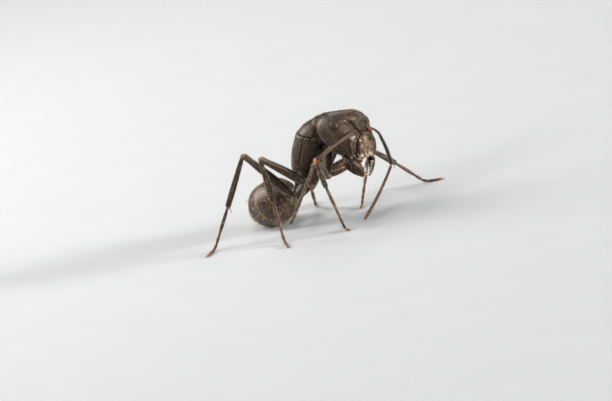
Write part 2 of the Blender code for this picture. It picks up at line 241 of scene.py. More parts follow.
class Wire:
    """An output in a material's nodes. Arithmetic on it adds Math nodes."""

    def __init__(self, tree, output=None):
        self.tree = tree
        self.output = output

    def node(self, kind, settings, inputs, output=0):
        """Add a node with its settings, then the values or links of its sockets."""
        made = self.tree.nodes.new("ShaderNode" + kind)
        for name, value in settings.items():
            setattr(made, name, value)
        for name, value in inputs.items():
            if isinstance(value, Wire):
                self.tree.links.new(value.output, made.inputs[name])
            else:
                made.inputs[name].default_value = value
        return Wire(self.tree, made.outputs[output])

    def sum_of(self, operation, *values):
        return self.node("Math", {"operation": operation}, dict(enumerate(values)))

    def __add__(self, other):
        return self.sum_of("ADD", self, other)

    def __rsub__(self, other):
        return self.sum_of("SUBTRACT", other, self)

    def __mul__(self, other):
        return self.sum_of("MULTIPLY", self, other)

    __radd__ = __add__
    __rmul__ = __mul__

    def attribute(self, name):
        return self.node("Attribute", {"attribute_name": name}, {}, "Fac")

    def noise(self, scale, detail=2.0):
        """Soft noise round 0.5, with about scale spots to a metre."""
        spot = self.node("TexCoord", {}, {}, "Object")
        return self.node("TexNoise", {}, {"Vector": spot, "Scale": scale, "Detail": detail})

    def cells(self, scale):
        """A net of cells, 0 on its seams, with about scale cells to a metre."""
        spot = self.node("TexCoord", {}, {}, "Object")
        net = self.node("TexVoronoi", {"feature": "DISTANCE_TO_EDGE"},
                        {"Vector": spot, "Scale": scale})
        return net.eased(0.0, 0.25)

    def bump(self, depth):
        """The normal that this height gives, a height of 1 being depth millimetres."""
        return self.node("Bump", {}, {"Height": self, "Distance": depth * MM, "Strength": 1.0})

    def eased(self, low, high):
        """0 below low and 1 above high."""
        return self.node("MapRange", {"interpolation_type": "SMOOTHSTEP"},
                         {"Value": self, "From Min": low, "From Max": high})

    def between(self, first, second):
        """Colour that goes from first to second as this goes from 0 to 1."""
        return self.node("Mix", {"data_type": "RGBA"}, {0: self, 6: first, 7: second}, 2)


def finish(name, recipe, **even):
    """Make a material from recipe(wire)'s links and the values that are even all over."""
    made = bpy.data.materials.new(name)
    made.use_nodes = True
    shader = made.node_tree.nodes["Principled BSDF"]
    for socket, value in even.items():
        shader.inputs[socket.replace("_", " ").title().replace("Ior", "IOR")].default_value = value
    for socket, wire in recipe(Wire(made.node_tree)).items():
        made.node_tree.links.new(wire.output, shader.inputs[socket])
    return made


def rgb(red, green, blue):
    return (red, green, blue, 1.0)


def cuticle(deep, worn, joint=None, cell=0.022, relief=0.0012, gloss=(0.29, 0.43), ends=()):
    """Shell with a net of fine cells, cloudy colour, polish with painted highlight specks, and a
    ruddy tint toward a limb's ends.

    ends holds, for the first and then the last end, how far the tint reaches and how soft it is.
    """
    def recipe(wire):
        clouds, smears, grain = wire.noise(900.0, 4.0), wire.noise(4200.0, 3.0), wire.noise(8000.0)
        colour = clouds.eased(0.38, 0.68).between(deep, worn)
        share = wire.attribute("along") + smears * 0.04
        for end, (reach, soft) in enumerate(ends):
            if reach:
                tint = (share.eased(1 - reach, 1 - reach + soft) if end
                        else 1 - share.eased(reach - soft, reach))
                colour = tint.between(colour, joint)
        polish = wire.attribute("polish")
        polished = polish.eased(0.6, 1.0)
        # Strong polish also mixes pale specks into the colour: a painted highlight glint on the
        # polished face.
        painted_glint = rgb(*(part * GLINT_GAIN for part in worn[:3]))
        colour = (polished * smears).between(colour, painted_glint)
        roughness = gloss[0] + (gloss[1] - gloss[0]) * clouds.eased(0.3, 0.7) + smears * 0.05
        height = wire.cells(1000.0 / cell) + smears * 0.6 + polished * (grain * SHIELD_GRAIN)
        return {"Base Color": colour, "Roughness": roughness * (1 - polish * POLISH_GAIN),
                "Normal": height.bump(relief)}
    return recipe


BROWN_SHEEN = rgb(1.0, 0.75, 0.59)  # tint of the gloss


def shell(name, recipe, level=0.42):
    """Finish of hard shell, with a brown sheen to its gloss."""
    return finish(name, recipe, ior=1.5, specular_ior_level=level, specular_tint=BROWN_SHEEN)


head_turn = Euler([math.radians(angle) for angle in HEAD_TURN], "XYZ").to_matrix()
eyes_middle = (middle("eye_left") + middle("eye_right")) / 2
head_middle = eyes_middle - head_turn @ Vector((0.0, -EYE_SEAT[0], EYE_SEAT[2])) * HEAD_LENGTH
head = Axes(head_turn, head_middle)


def head_shape(share, turn):
    run, opened = capped(share, 0.05)
    s = run * HEAD_END
    fullness = np.where(np.sin(turn) > 0, *HEAD_FULLNESS)
    across, up = powered(np.cos(turn), fullness), powered(np.sin(turn), fullness)
    x = read(HEAD_WIDTH, s) * across * opened
    z = np.where(up > 0, read(HEAD_TOP, s), read(HEAD_BOTTOM, s)) * up * opened
    y = 0.5 - s - OCCIPUT_DIP * hump(x, 0.2) * np.clip(1 - 4 * s, 0, 1)
    y += MOUTH_RECESS * step(-z, 0.0, 0.12) * np.clip(s - 0.7, 0, 1) / 0.265
    return columns(x, y, z) * HEAD_LENGTH


def in_head(points):
    """Places out from the head's middle plane, ahead and up, in head lengths."""
    own = head.own(points) / HEAD_LENGTH
    return np.abs(own[:, 0]), -own[:, 1], own[:, 2]


def eye_share(points, side):
    """Distance from the middle of an eye, as a share of the eye's own size in that direction."""
    ahead, out, up = EYE_SEAT
    offset = points - columns(side * out, -ahead, up) * HEAD_LENGTH
    tilt = math.radians(side * -EYE_TILT)
    flat = offset[:, 0] * math.cos(tilt) - offset[:, 2] * math.sin(tilt)
    high = offset[:, 0] * math.sin(tilt) + offset[:, 2] * math.cos(tilt)
    shares = columns(flat, offset[:, 1], high) / EYE_HALF
    return np.sqrt(shares[:, 0] ** 2 + shares[:, 1] ** 2 + shares[:, 2] ** 2)


def ridge_side(ahead, out):
    """How far a place lies outside the ridge over a feeler socket, in head lengths."""
    spread = 0.62 * np.clip(0.13 - ahead, -0.02, 0.4)
    return out - 0.060 - spread + 0.016 * np.sin((ahead + 0.09) * 30)


def head_relief(share, turn, point):
    """Ridges, sockets, face shield, eye seats and midlines, as heights in millimetres."""
    x, ahead, z = point[:, 0] / HEAD_LENGTH, -point[:, 1] / HEAD_LENGTH, point[:, 2] / HEAD_LENGTH
    out = np.abs(x)
    top = step(z, 0.03, 0.06)
    under = step(-z, 0.03, 0.06)

    # The ridge over each feeler socket falls steeply on its outer side, into a long hollow
    past = ridge_side(ahead, out)
    along = step(ahead, -0.10, 0.07) * (1 - step(ahead, 0.155, 0.04))
    ridge = 0.030 * np.where(past < 0, hump(past, 0.035), hump(past, 0.009)) * along
    trough = -0.036 * hump(past - 0.052, 0.042)
    trough = trough * step(ahead, -0.09, 0.10) * (1 - step(ahead, 0.30, 0.10))
    from_socket = np.hypot(ahead - SOCKET[0], out - SOCKET[1])
    socket = 0.016 * hump(from_socket - 0.036, 0.010) - 0.022 * hump(from_socket, 0.022)

    # The face shield is a keeled roof with a sharp seam round it, and the face is sunk beside it
    half = read(SHIELD, ahead)
    inside = step(ahead, SHIELD_START, 0.02) * (out < half)
    keel = 0.020 * np.clip(1 - out / np.maximum(half, 0.01), 0, 1)
    roof = (0.010 + keel + 0.008 * hump(out, 0.014)) * inside
    roof *= 1 - 0.45 * step(ahead, 0.42, 0.10)
    seam = -0.014 * hump(half - out, 0.007) * step(ahead, 0.18, 0.03)
    beside = -0.062 * hump(out - half - 0.045, 0.042) * step(ahead, 0.20, 0.10) * (out >= half)
    pit = -0.016 * hump(np.hypot(ahead - 0.27, out - 0.16), 0.014)

    # A hair-fine midline runs back from the triangle behind the shield
    midline = -0.006 * hump(out, 0.005) * step(ahead, -0.16, 0.08) * (1 - step(ahead, 0.15, 0.02))
    between = -0.012 * step(-past, 0.03, 0.04) * along
    cheek = 0.024 * hump(out - 0.32, 0.030) * step(ahead, 0.22, 0.10) * step(z, 0.0, 0.06)
    margin = 0.014 * hump(ahead - 0.44, 0.025)
    temple = -0.040 * hump(ahead + 0.20, 0.17) * hump(out - 0.27, 0.17)

    # Underneath, the mouth's hollow lies between two long lips, and a seam runs back to the neck
    mouth = -0.05 * step(0.115 - out, 0.0, 0.03) * step(ahead, 0.22, 0.08)
    lips = 0.014 * hump(out - 0.14, 0.014) * step(ahead, 0.16, 0.08)
    throat = -0.010 * hump(out, 0.008) * (1 - step(ahead, 0.22, 0.05))

    face = roof + seam + beside + pit + margin
    height = top * (ridge + trough + socket + face + midline + between + temple) + cheek
    height += under * (mouth + lips + throat)
    height *= HEAD_LENGTH
    for side in (-1, 1):
        near = eye_share(point, side)
        height += -0.014 * hump(near - 1.06, 0.05) - 0.06 * (1 - step(near, 0.93, 0.1))
    return height - COAT_DEPTH


head_skin = head.skin(lifted(head_shape, head_relief))
SHELL_BLACK = rgb(0.010, 0.0056, 0.0036)
HEAD_WORN = rgb(0.021, 0.0120, 0.0074)
shell_finish = shell("satin_black_shell", cuticle(SHELL_BLACK, HEAD_WORN))
capsule = modelled("head_capsule", 288, 310, head_skin)
out, ahead, up = in_head(points_of(capsule) / MM)
on_face = (up > 0) & (ahead > SHIELD_START)
# Polish above 0.6 also paints pale highlight specks into the colour: all over the face shield, and
# a thin painted highlight line along the top of each ridge.
bright_ridge = 0.75 * hump(ridge_side(ahead, out) + 0.004, 0.014) * (up > 0) * (ahead > -0.12)
dull_temple = -0.7 * hump(out - 0.27, 0.16) * hump(ahead - 0.06, 0.15)
mark(capsule, "polish", np.select(
    [on_face & (out < read(SHIELD, ahead)), on_face & (out < FACE_HALF), bright_ridge > 0.2],
    [1.0, 0.5, bright_ridge], dull_temple))
fixed(capsule, shell_finish, "black_cuticle", "head")


# ---------------------------------------------------------------- eyes
# Low oval domes of many small lenses, blackish brown with a dull gloss. Each lens bulges a little,
# in a close six-sided pattern, and the dome sits in the head's own hollow.

LENS_SAG = 0.0075  # how far a lens falls to its seam
LENS_SPACING = 0.072  # on a ball of radius 1
LENS_ROUNDNESS = 1.3  # how much of the fall lies near the seam
EYE_FLATNESS = 0.90
EYE_SINK = 0.03  # share by which the dome is smaller than its seat


def compound_eye(side, sign):
    bpy.ops.object.select_all(action="DESELECT")
    bpy.ops.mesh.primitive_ico_sphere_add(subdivisions=5, radius=1.0)
    seats = bpy.context.object
    lenses = KDTree(len(seats.data.vertices))
    for index, vertex in enumerate(seats.data.vertices):
        lenses.insert(vertex.co, index)
    lenses.balance()
    bpy.data.objects.remove(seats, do_unlink=True)
    bpy.ops.mesh.primitive_ico_sphere_add(subdivisions=7, radius=1.0)
    dome = bpy.context.object
    dome.name = dome.data.name = f"compound_eye_{side}"
    dome_half = Vector((EYE_HALF[0] * EYE_FLATNESS, EYE_HALF[1], EYE_HALF[2]))
    tilt = Matrix.Rotation(math.radians(sign * -EYE_TILT), 3, "Y")
    seat = Vector((sign * EYE_SEAT[1], -EYE_SEAT[0], EYE_SEAT[2])) * HEAD_LENGTH
    for vertex in dome.data.vertices:
        distance = lenses.find(vertex.co)[2] / LENS_SPACING
        bulge = 1 - LENS_SAG / EYE_HALF[0] * (LENS_ROUNDNESS * distance) ** 2 - EYE_SINK
        vertex.co = head.world(tilt @ (dome_half * vertex.co * bulge) + seat) * MM
    face_outward(dome)
    return dome


def eye_recipe(wire):
    clouds = wire.noise(2600.0)
    colour = clouds.eased(0.35, 0.7).between(rgb(0.010, 0.007, 0.005), rgb(0.024, 0.016, 0.011))
    return {"Base Color": colour, "Roughness": 0.34 + 0.16 * clouds}


eye_finish = finish("eye_lenses", eye_recipe, ior=1.46, specular_tint=BROWN_SHEEN)
for side, sign in (("left", 1), ("right", -1)):
    fixed(compound_eye(side, sign), eye_finish, "eye", f"eye_{side}")


# ---------------------------------------------------------------- jaws
# Two three-cornered blades of thick dark shell, hinged on the corners of the face, each with five
# teeth along its inner edge, and redder toward its worn tip.

# Ahead, then the blade's middle outward and down, half width and half thickness, in head lengths
JAW = ((0.345, 0.300, 0.085, 0.040, 0.036), (0.41, 0.302, 0.070, 0.056, 0.043),
       (0.455, 0.297, 0.058, 0.086, 0.053), (0.51, 0.280, 0.045, 0.114, 0.057),
       (0.575, 0.252, 0.040, 0.130, 0.052), (0.64, 0.212, 0.042, 0.122, 0.044),
       (0.695, 0.175, 0.050, 0.097, 0.036), (0.74, 0.140, 0.060, 0.064, 0.029),
       (0.78, 0.112, 0.075, 0.024, 0.016))
JAW_LEAN = 45  # the inner edge is the upper one
JAW_CLOSING = {-1: 0.0, 1: 0.075}  # how far in the right and left tips have swung, in head lengths
TOOTH_RUN = (0.585, 0.776)
TOOTH_COUNT = 5
TOOTH_HEIGHT = 0.042


def jaw_shape(sign):
    def local(share, turn):
        run, opened = capped(share, 0.06)
        ahead = JAW[0][0] + (JAW[-1][0] - JAW[0][0]) * run
        out, drop, wide, thick = read_table(JAW, ahead)
        across, up = np.cos(turn), np.sin(turn)
        inner = np.clip(-across, 0, 1)
        bite = (ahead - TOOTH_RUN[0]) / (TOOTH_RUN[1] - TOOTH_RUN[0])
        place = np.clip(bite, 0, 0.999) * TOOTH_COUNT % 1.0
        notch = np.where(place < 0.6, place / 0.6, (1 - place) / 0.4)
        notch = (1 - notch) * step(ahead, TOOTH_RUN[0] + 0.01, 0.03)
        side = wide * opened * powered(across, 0.9) + TOOTH_HEIGHT * notch * inner**4 * opened
        edge = 1 - 0.72 * inner**2 * step(ahead, 0.52, 0.08)
        swell = 0.012 * hump(across - 0.1, 0.5) * np.clip(up, 0, 1) * opened
        high = thick * opened * up * edge + swell
        lean = math.radians(JAW_LEAN)
        out = out - JAW_CLOSING[sign] * np.clip((ahead - 0.46) / 0.32, 0, 1) ** 1.4
        x = out + side * math.cos(lean) + high * math.sin(lean)
        z = -drop - side * math.sin(lean) + high * math.cos(lean)
        return columns(sign * x, -ahead, z) * HEAD_LENGTH
    return head.skin(local)


def jaw_recipe(wire):
    clouds, grain = wire.noise(2200.0, 4.0), wire.noise(16000.0)
    colour = clouds.eased(0.4, 0.7).between(rgb(0.007, 0.0045, 0.0036), rgb(0.017, 0.0090, 0.0060))
    share = wire.attribute("along") + clouds * 0.1
    colour = share.eased(0.86, 1.08).between(colour, rgb(0.11, 0.032, 0.014))
    return {"Base Color": colour, "Roughness": 0.34 + 0.2 * clouds,
            "Normal": (grain + clouds).bump(0.003)}


jaw_finish = shell("jaw_shell", jaw_recipe, 0.24)
jaw_surfaces = {side: jaw_shape(sign) for side, sign in (("left", 1), ("right", -1))}
for side, surface in jaw_surfaces.items():
    blade = modelled(f"jaw_{side}", 64, 150, surface)
    fixed(blade, jaw_finish, "jaw", f"mandible_{side}")


# ---------------------------------------------------------------- mouthparts
# Behind the jaws: the upper lip, the rounded lower lip between its two side pieces, and the jointed
# palps, which lie back along the throat. Softer and browner than the shell.

# Each palp's way (out, ahead, up, in head lengths), lengths of its joints, and half thickness
PALPS = {
    "outer": (((0.095, 0.44, -0.125), (0.125, 0.40, -0.19), (0.13, 0.30, -0.225),
               (0.12, 0.18, -0.262), (0.10, 0.06, -0.283), (0.085, -0.05, -0.292)),
              (2, 3, 5, 5, 4, 4), 0.045),
    "inner": (((0.035, 0.48, -0.135), (0.045, 0.42, -0.18), (0.05, 0.32, -0.215),
               (0.045, 0.22, -0.252)), (2, 3, 3, 3), 0.036),
}
RING_CROWDING = 0.9  # how much closer together a limb's rings of points lie near its ends


def tube(path, radius, up, flatten=1.0):
    """A closed limb round a path of points, of radius(share), flattened toward its up side."""
    lengths = np.concatenate([[0.0], np.cumsum(np.linalg.norm(np.diff(path, axis=0), axis=1))])
    total = lengths[-1]
    stride = total * 0.02

    def at(distance):
        return columns(*(np.interp(distance, lengths, path[:, axis]) for axis in range(3)))

    def place(share, turn):
        run = share - RING_CROWDING * np.sin(2 * math.pi * share) / (2 * math.pi)
        distance = run * total
        along = at(np.minimum(distance + stride, total)) - at(np.maximum(distance - stride, 0.0))
        along /= np.linalg.norm(along, axis=1)[:, None]
        side = np.cross(along, np.array(up, float))
        side /= np.linalg.norm(side, axis=1)[:, None]
        high = np.cross(side, along)
        size = radius(run)
        end = np.minimum(distance, total - distance)
        closing = np.clip(end / np.maximum(size, 1e-6), 0.0, 1.0)
        size = (size * np.sqrt(1 - (1 - closing) ** 2))[:, None]
        return (at(distance) + side * size * np.cos(turn)[:, None]
                + high * size * flatten * np.sin(turn)[:, None])
    return place


def curve(points, count=60):
    """Smooth path through points."""
    table = [(spot, *point) for spot, point in enumerate(points)]
    return columns(*read_table(table, np.linspace(0, len(points) - 1, count)))


def jointed(lengths, thick, pinch=0.30, reach=0.22):
    """Radius of a limb of joints: each starts pinched at its edge and swells toward the next."""
    edges = np.concatenate([[0.0], np.cumsum(lengths)]) / sum(lengths)

    def radius(share):
        index = np.clip(np.searchsorted(edges, share, side="right") - 1, 0, len(edges) - 2)
        inside = (share - edges[index]) / (edges[index + 1] - edges[index])
        neck = hump(inside, reach) + 0.75 * hump(1 - inside, reach * 0.3)
        return thick(share) * (1 - pinch * np.clip(neck, 0, 1))
    return radius


def palp(name, sign, way, lengths, thick):
    points = [head.world(Vector((sign * out, -ahead, up)) * HEAD_LENGTH) for out, ahead, up in way]
    radius = jointed(lengths, lambda share: thick * (1 - 0.35 * share))
    return modelled(name, 14, 90, tube(curve(points), radius, head.way((1, 0, 0.2))))


def lobe(name, centre, half, bend=0.0):
    """Rounded flap or pad in the head's own axes, in head lengths."""
    def local(share, turn):
        across, up = np.cos(turn) * np.sin(share * math.pi), np.sin(turn) * np.sin(share * math.pi)
        ahead = np.cos(share * math.pi)
        return columns(centre[0] + half[0] * across, -(centre[1] + half[1] * ahead),
                       centre[2] + half[2] * up - bend * across**2) * HEAD_LENGTH
    return modelled(name, 40, 30, head.skin(local))


def soft_recipe(wire):
    clouds = wire.noise(3500.0, 4.0)
    colour = clouds.eased(0.35, 0.7).between(rgb(0.10, 0.035, 0.014), rgb(0.24, 0.10, 0.040))
    return {"Base Color": colour, "Roughness": 0.36 + 0.2 * clouds,
            "Normal": wire.noise(15000.0).bump(0.003)}


mouth_finish = finish("mouthpart_shell", soft_recipe, ior=1.5)
lips = [lobe("upper_lip", (0.0, 0.440, -0.030), (0.098, 0.052, 0.024), 0.02),
        lobe("lower_lip", (0.0, 0.44, -0.115), (0.050, 0.10, 0.042)),
        lobe("side_piece_left", (0.078, 0.415, -0.105), (0.032, 0.105, 0.046)),
        lobe("side_piece_right", (-0.078, 0.415, -0.105), (0.032, 0.105, 0.046)),
        lobe("tongue", (0.0, 0.545, -0.095), (0.028, 0.042, 0.020))]
for sign in (1, -1):
    lips += [palp(f"{row}_palp_{sign}", sign, *values) for row, values in PALPS.items()]
fixed(joined("mouthparts_joined", lips), mouth_finish, "mouthpart", "mouthparts")


# ---------------------------------------------------------------- trunk
# The middle body is one hard hull of fused plates: collar, back and rear, with seams between them,
# breathing holes, and swellings where the legs are hung.

TRUNK_LENGTH = 4.5
TRUNK_REARING = 50
NECK = Vector((-0.19, -4.02, -0.10))  # in the trunk's own axes
HEAD_TO_NECK = Vector((0.0, 0.37, -0.31))  # from the head's middle, in head lengths
TRUNK_WIDTH = ((0.0, 0.28), (0.4, 0.50), (1.1, 0.62), (2.0, 0.76), (2.9, 0.96), (3.5, 0.98),
               (3.9, 0.80), (4.25, 0.50), (4.5, 0.30))
TRUNK_LIFT = ((0.0, 0.0), (2.4, 0.0), (3.0, 0.06), (3.5, 0.18), (3.9, 0.26), (4.5, 0.30))
TRUNK_TOP = ((0.0, 0.02), (0.35, 0.16), (0.7, 0.44), (1.5, 0.92), (2.1, 1.1), (2.8, 1.15),
             (3.4, 0.91), (3.9, 0.54), (4.25, 0.27), (4.5, 0.08))
TRUNK_BOTTOM = ((0.0, 0.26), (0.6, 0.46), (2.0, 0.54), (3.0, 0.52), (3.5, 0.46), (3.9, 0.38),
                (4.25, 0.28), (4.5, 0.18))
TRUNK_INSET = 0.02  # how far the plates lie under the down's own room

trunk_turn = Matrix.Rotation(math.radians(-TRUNK_REARING), 3, "X")
trunk_rear = head.world(HEAD_TO_NECK * HEAD_LENGTH) - trunk_turn @ NECK
trunk = Axes(trunk_turn, trunk_rear)


def trunk_shape(share, turn):
    run, opened = capped(share, 0.04)
    s = run * TRUNK_LENGTH
    across, up = powered(np.cos(turn), 0.92), powered(np.sin(turn), 0.92)
    x = read(TRUNK_WIDTH, s) * across * opened
    z = np.where(up > 0, read(TRUNK_TOP, s), read(TRUNK_BOTTOM, s)) * up * opened
    return columns(x, -s, z + read(TRUNK_LIFT, s))


def trunk_relief(share, turn, point):
    """Seams, breathing holes and hip swellings, in millimetres."""
    out, s, z = np.abs(point[:, 0]), -point[:, 1], point[:, 2]
    above = z - read(TRUNK_LIFT, s)
    high = above / np.where(above > 0, read(TRUNK_TOP, s), read(TRUNK_BOTTOM, s))
    side = step(out / read(TRUNK_WIDTH, s), 0.45, 0.3)

    collar = 3.02 + 0.30 * (1 - high) + 0.10 * (1 - high) ** 2
    back = 1.60 - 0.10 * (1 - high)
    saddle = hump(s - back, 0.035) + 0.7 * hump(s - back + 0.14, 0.03) * step(high, -0.1, 0.3)
    flank = hump(high - 0.36 - 0.10 * (s - 2.3), 0.035)
    flank = flank * step(s, 1.62, 0.1) * (1 - step(s, 3.25, 0.15))
    lower = hump(high + 0.30 - 0.30 * (s - 2.2), 0.05)
    lower = lower * step(s, 1.45, 0.1) * (1 - step(s, 3.4, 0.15))
    rear = hump(s - 0.62 + 0.35 * high, 0.04) * side * (1 - step(high, 0.5, 0.2))
    grooves = -0.075 * (hump(s - collar, 0.032) + saddle) - 0.085 * side * (flank + lower)
    grooves = grooves - 0.050 * rear

    # Each plate stands a little proud just behind the seam in front of it
    swell = 0.035 * hump(s - collar + 0.16, 0.16) + 0.030 * hump(s - back + 0.35, 0.2)
    swell += 0.03 * side * hump(high - 0.05, 0.22) * hump(s - 2.4, 0.55)
    collar_rim = 0.03 * hump(s - 4.12, 0.06) - 0.02 * hump(s - 3.95, 0.07)
    hole = np.hypot(s - 0.95, z - 0.36)
    breather = side * (0.022 * hump(hole - 0.085, 0.028) - 0.05 * hump(hole, 0.05))
    small_hole = np.hypot(s - 1.56, z - 0.55)
    breather += side * (0.016 * hump(small_hole - 0.055, 0.02) - 0.035 * hump(small_hole, 0.035))
    bulb = 0.045 * side * hump(np.hypot(s - 0.40, z + 0.12), 0.16)
    return grooves + swell * 0.8 + collar_rim + breather + bulb - COAT_DEPTH - TRUNK_INSET


trunk_skin = trunk.skin(lifted(trunk_shape, trunk_relief))
TRUNK_WORN = rgb(0.021, 0.0117, 0.0070)
trunk_finish = shell("black_trunk_shell", cuticle(SHELL_BLACK, TRUNK_WORN, cell=0.03, relief=0.002))
hull = modelled("trunk_hull", 200, 280, trunk_skin)
fixed(hull, trunk_finish, "black_cuticle", "pronotum", "mesonotum", "propodeum")

neck_path = [trunk.world((-0.03, -3.6, 0.08)), trunk.world(NECK), head.world((0.0, 0.9, -0.62))]
neck_radius = lambda share: 0.27 - 0.05 * share
neck = modelled("neck", 40, 40, tube(curve(neck_path), neck_radius, (1, 0, 0)))
fixed(neck, trunk_finish, "black_cuticle")


# ---------------------------------------------------------------- waist
# A single upright scale on a short stalk joins the trunk to the gaster. Its crest is thin and
# slightly notched, and both stalk ends run into their neighbours.

WAIST_WAY = (14, -33)  # heading from +Y toward +X, then lift
WAIST_GAP = 0.10
WAIST_SLIMMING = (0.97, 1.0, 0.97)  # room for its hairs inside the solid
# Place along the stalk, half width, and reach up and down, in millimetres
WAIST = ((-0.12, 0.15, 0.11, 0.11), (0.0, 0.16, 0.12, 0.12), (0.16, 0.23, 0.22, 0.19),
         (0.30, 0.38, 0.52, 0.26), (0.40, 0.43, 0.67, 0.27), (0.47, 0.40, 0.62, 0.26),
         (0.55, 0.30, 0.34, 0.23), (0.62, 0.19, 0.15, 0.15), (0.80, 0.15, 0.12, 0.12))


def aft_axes(origin, way):
    """Axes of a region that runs back from its origin, +Y along the way."""
    turn, rise = (math.radians(angle) for angle in way)
    return Axes(Euler((rise, 0.0, -turn), "XYZ").to_matrix(), origin)


def toward(heading, lift, ahead=-1, side=1):
    """Unit vector at a heading turned from the Y axis toward the given side, raised by lift."""
    turn, rise = math.radians(heading), math.radians(lift)
    return Vector((side * math.sin(turn) * math.cos(rise), ahead * math.cos(turn) * math.cos(rise),
                   math.sin(rise)))


waist = aft_axes(trunk_rear + toward(*WAIST_WAY, ahead=1) * WAIST_GAP, WAIST_WAY)


def waist_shape(share, turn):
    run, opened = capped(share, 0.08)
    s = WAIST[0][0] + (WAIST[-1][0] - WAIST[0][0]) * run
    wide, top, bottom = read_table(WAIST, s)
    across, up = np.cos(turn), np.sin(turn)
    notch = 1 - 0.05 * hump(across, 0.25) * step(top, 0.4, 0.2)
    z = np.where(up > 0, top * notch, bottom) * up * opened
    return waist.placed(columns(wide * across * opened, s, z) * WAIST_SLIMMING)


scale_piece = modelled("waist_scale", 72, 90, waist_shape)
fixed(scale_piece, trunk_finish, "black_cuticle", "petiole")


# ---------------------------------------------------------------- gaster
# Five ringed plates, each tucked under the hind rim of the one before. Dark brown and glossy, each
# with a thin yellow-brown hind rim.

GASTER_LENGTH = 4.3
GASTER_WAY = (40, -20)
GASTER_START = Vector((0.285, 0.72, -0.21))  # from the trunk's rear end
GASTER_CUTS = (0.33, 0.57, 0.77, 0.91)
GASTER_WIDTH = ((0.0, 0.14), (0.04, 0.50), (0.12, 0.88), (0.25, 1.18), (0.42, 1.29), (0.58, 1.25),
                (0.74, 1.00), (0.88, 0.60), (0.96, 0.30), (1.0, 0.10))
GASTER_DEPTH = 0.95
RIM_LIFT = 0.035
TUCK = 0.035  # how far a plate runs under the rim before it, in gaster lengths
TUCK_DEPTH = 0.0665
BELLY_CLEARANCE = 0.002  # the belly stays this far above the floor

gaster = aft_axes(trunk_rear + GASTER_START, GASTER_WAY)


def plate_shape(front, rear, first, last):
    start = front if first else front - TUCK

    def local(share, turn):
        run, opened = capped(share, 0.07)
        s = start + (rear - start) * run
        inside = (s - start) / (rear - start)
        size = read(GASTER_WIDTH, np.clip(s, 0.0, 1.0))
        tuck = 0.0 if first else TUCK_DEPTH * (1 - step(s, front + 0.01, 0.06))
        lift = RIM_LIFT * step(inside, 0.80, 0.4) * (0.0 if last else 1.0)
        size = (size - RIM_LIFT - COAT_DEPTH - tuck + lift) * opened
        flat = 1 - 0.02 * hump(np.sin(turn) + 1, 0.25)
        return columns(size * np.cos(turn), s * GASTER_LENGTH,
                       size * GASTER_DEPTH * np.sin(turn) * flat)

    def place(share, turn):
        points = gaster.placed(local(share, turn))
        points[:, 2] = np.maximum(points[:, 2], BELLY_CLEARANCE)
        return points
    return place


def gaster_recipe(wire):
    share, clouds = wire.attribute("along"), wire.noise(1100.0, 4.0)
    colour = clouds.eased(0.35, 0.7).between(rgb(0.012, 0.0080, 0.0056), rgb(0.030, 0.0190, 0.0115))
    colour = (share + clouds * 0.05).eased(0.80, 0.90).between(colour, rgb(0.085, 0.048, 0.022))
    colour = (share + clouds * 0.02).eased(0.905, 0.925).between(colour, rgb(0.26, 0.15, 0.065))
    return {"Base Color": colour, "Roughness": 0.26 + 0.18 * clouds,
            "Normal": (wire.cells(30000.0) + wire.noise(22000.0)).bump(0.0014)}


gaster_finish = shell("brown_gaster_shell", gaster_recipe)
cuts = (0.0, *GASTER_CUTS, 1.0)
gaster_skins = []
for number, (front, rear) in enumerate(zip(cuts, cuts[1:]), 1):
    gaster_skins.append(plate_shape(front, rear, front == 0.0, rear == 1.0))
    plate = modelled(f"gaster_plate_{number}", 160, 100, gaster_skins[-1])
    fixed(plate, gaster_finish, "black_cuticle", f"gaster_{number}")


# ---------------------------------------------------------------- legs
# Six legs of hard tubes: a cone-shaped hip piece, a short bead and the long thigh, a shin that
# widens to its spur, and a foot of five joints ending in two hooked claws.

# Hip seats on the trunk (ahead, out, up), and lengths of hip piece, thigh, shin and foot
LEGS = {
    "front": {"base": (3.0, 0.46, -0.75), "lengths": (1.4, 2.75, 2.3, 3.0), "hip": 0.31},
    "middle": {"base": (1.95, 0.62, -0.60), "lengths": (1.0, 3.15, 2.5, 3.45), "hip": 0.29},
    "hind": {"base": (0.85, 0.44, -0.50), "lengths": (1.0, 3.6, 3.2, 3.7), "hip": 0.31},
}
# Heading, from straight ahead toward the leg's own side, and lift of the hip piece, thigh, shin and
# the foot's fall to the floor, and last the heading of the foot's flat stretch
STANCE = {
    ("front", "right"): ((94, -56), (74, 33), (-109, -51), (-68, -78), 51),
    ("front", "left"): ((-142, -57), (48, 4), (81, -36), (50, -46), 5),
    ("middle", "right"): ((125, -57), (142, 45), (-109, -79), (66, -84), 60),
    ("middle", "left"): ((143, -79), (55, 8), (129, -29), (-84, -26), -78),
    ("hind", "right"): ((146, -38), (151, 56), (-169, -55), (-173, -54), 89),
    ("hind", "left"): ((137, -44), (100, 47), (-94, -66), (115, -33), 115),
}
FOOT_HEIGHT = 0.19  # where the solid foot's middle line meets the floor's level stretch
SOLE = 0.085  # height of the real foot's middle line over the floor
HIP_SHAPE = ((0.0, 0.70), (0.2, 0.92), (0.42, 1.0), (0.65, 0.90), (0.85, 0.66), (0.94, 0.56),
             (1.0, 0.50))
THIGH_SHAPE = ((0.0, 0.13), (0.035, 0.155), (0.065, 0.14), (0.085, 0.095), (0.11, 0.125),
               (0.18, 0.19), (0.32, 0.235), (0.5, 0.225), (0.7, 0.195), (0.86, 0.160),
               (0.94, 0.170), (1.0, 0.14))
SHIN_SHAPE = ((0.0, 0.10), (0.04, 0.105), (0.08, 0.095), (0.16, 0.120), (0.45, 0.145),
              (0.75, 0.155), (0.93, 0.145), (0.98, 0.150), (1.0, 0.11))
FOOT_JOINTS = (45, 18, 12, 9, 16)
CLAW_LENGTH = 0.22
SPUR_LENGTH = 0.42
CORNER_SOFTNESS = 0.35  # share of the shorter stretch that the foot's bend takes
LEG_RINGS = {"hip": (36, 60), "thigh": (32, 120), "shin": (28, 90), "foot": (22, 200)}


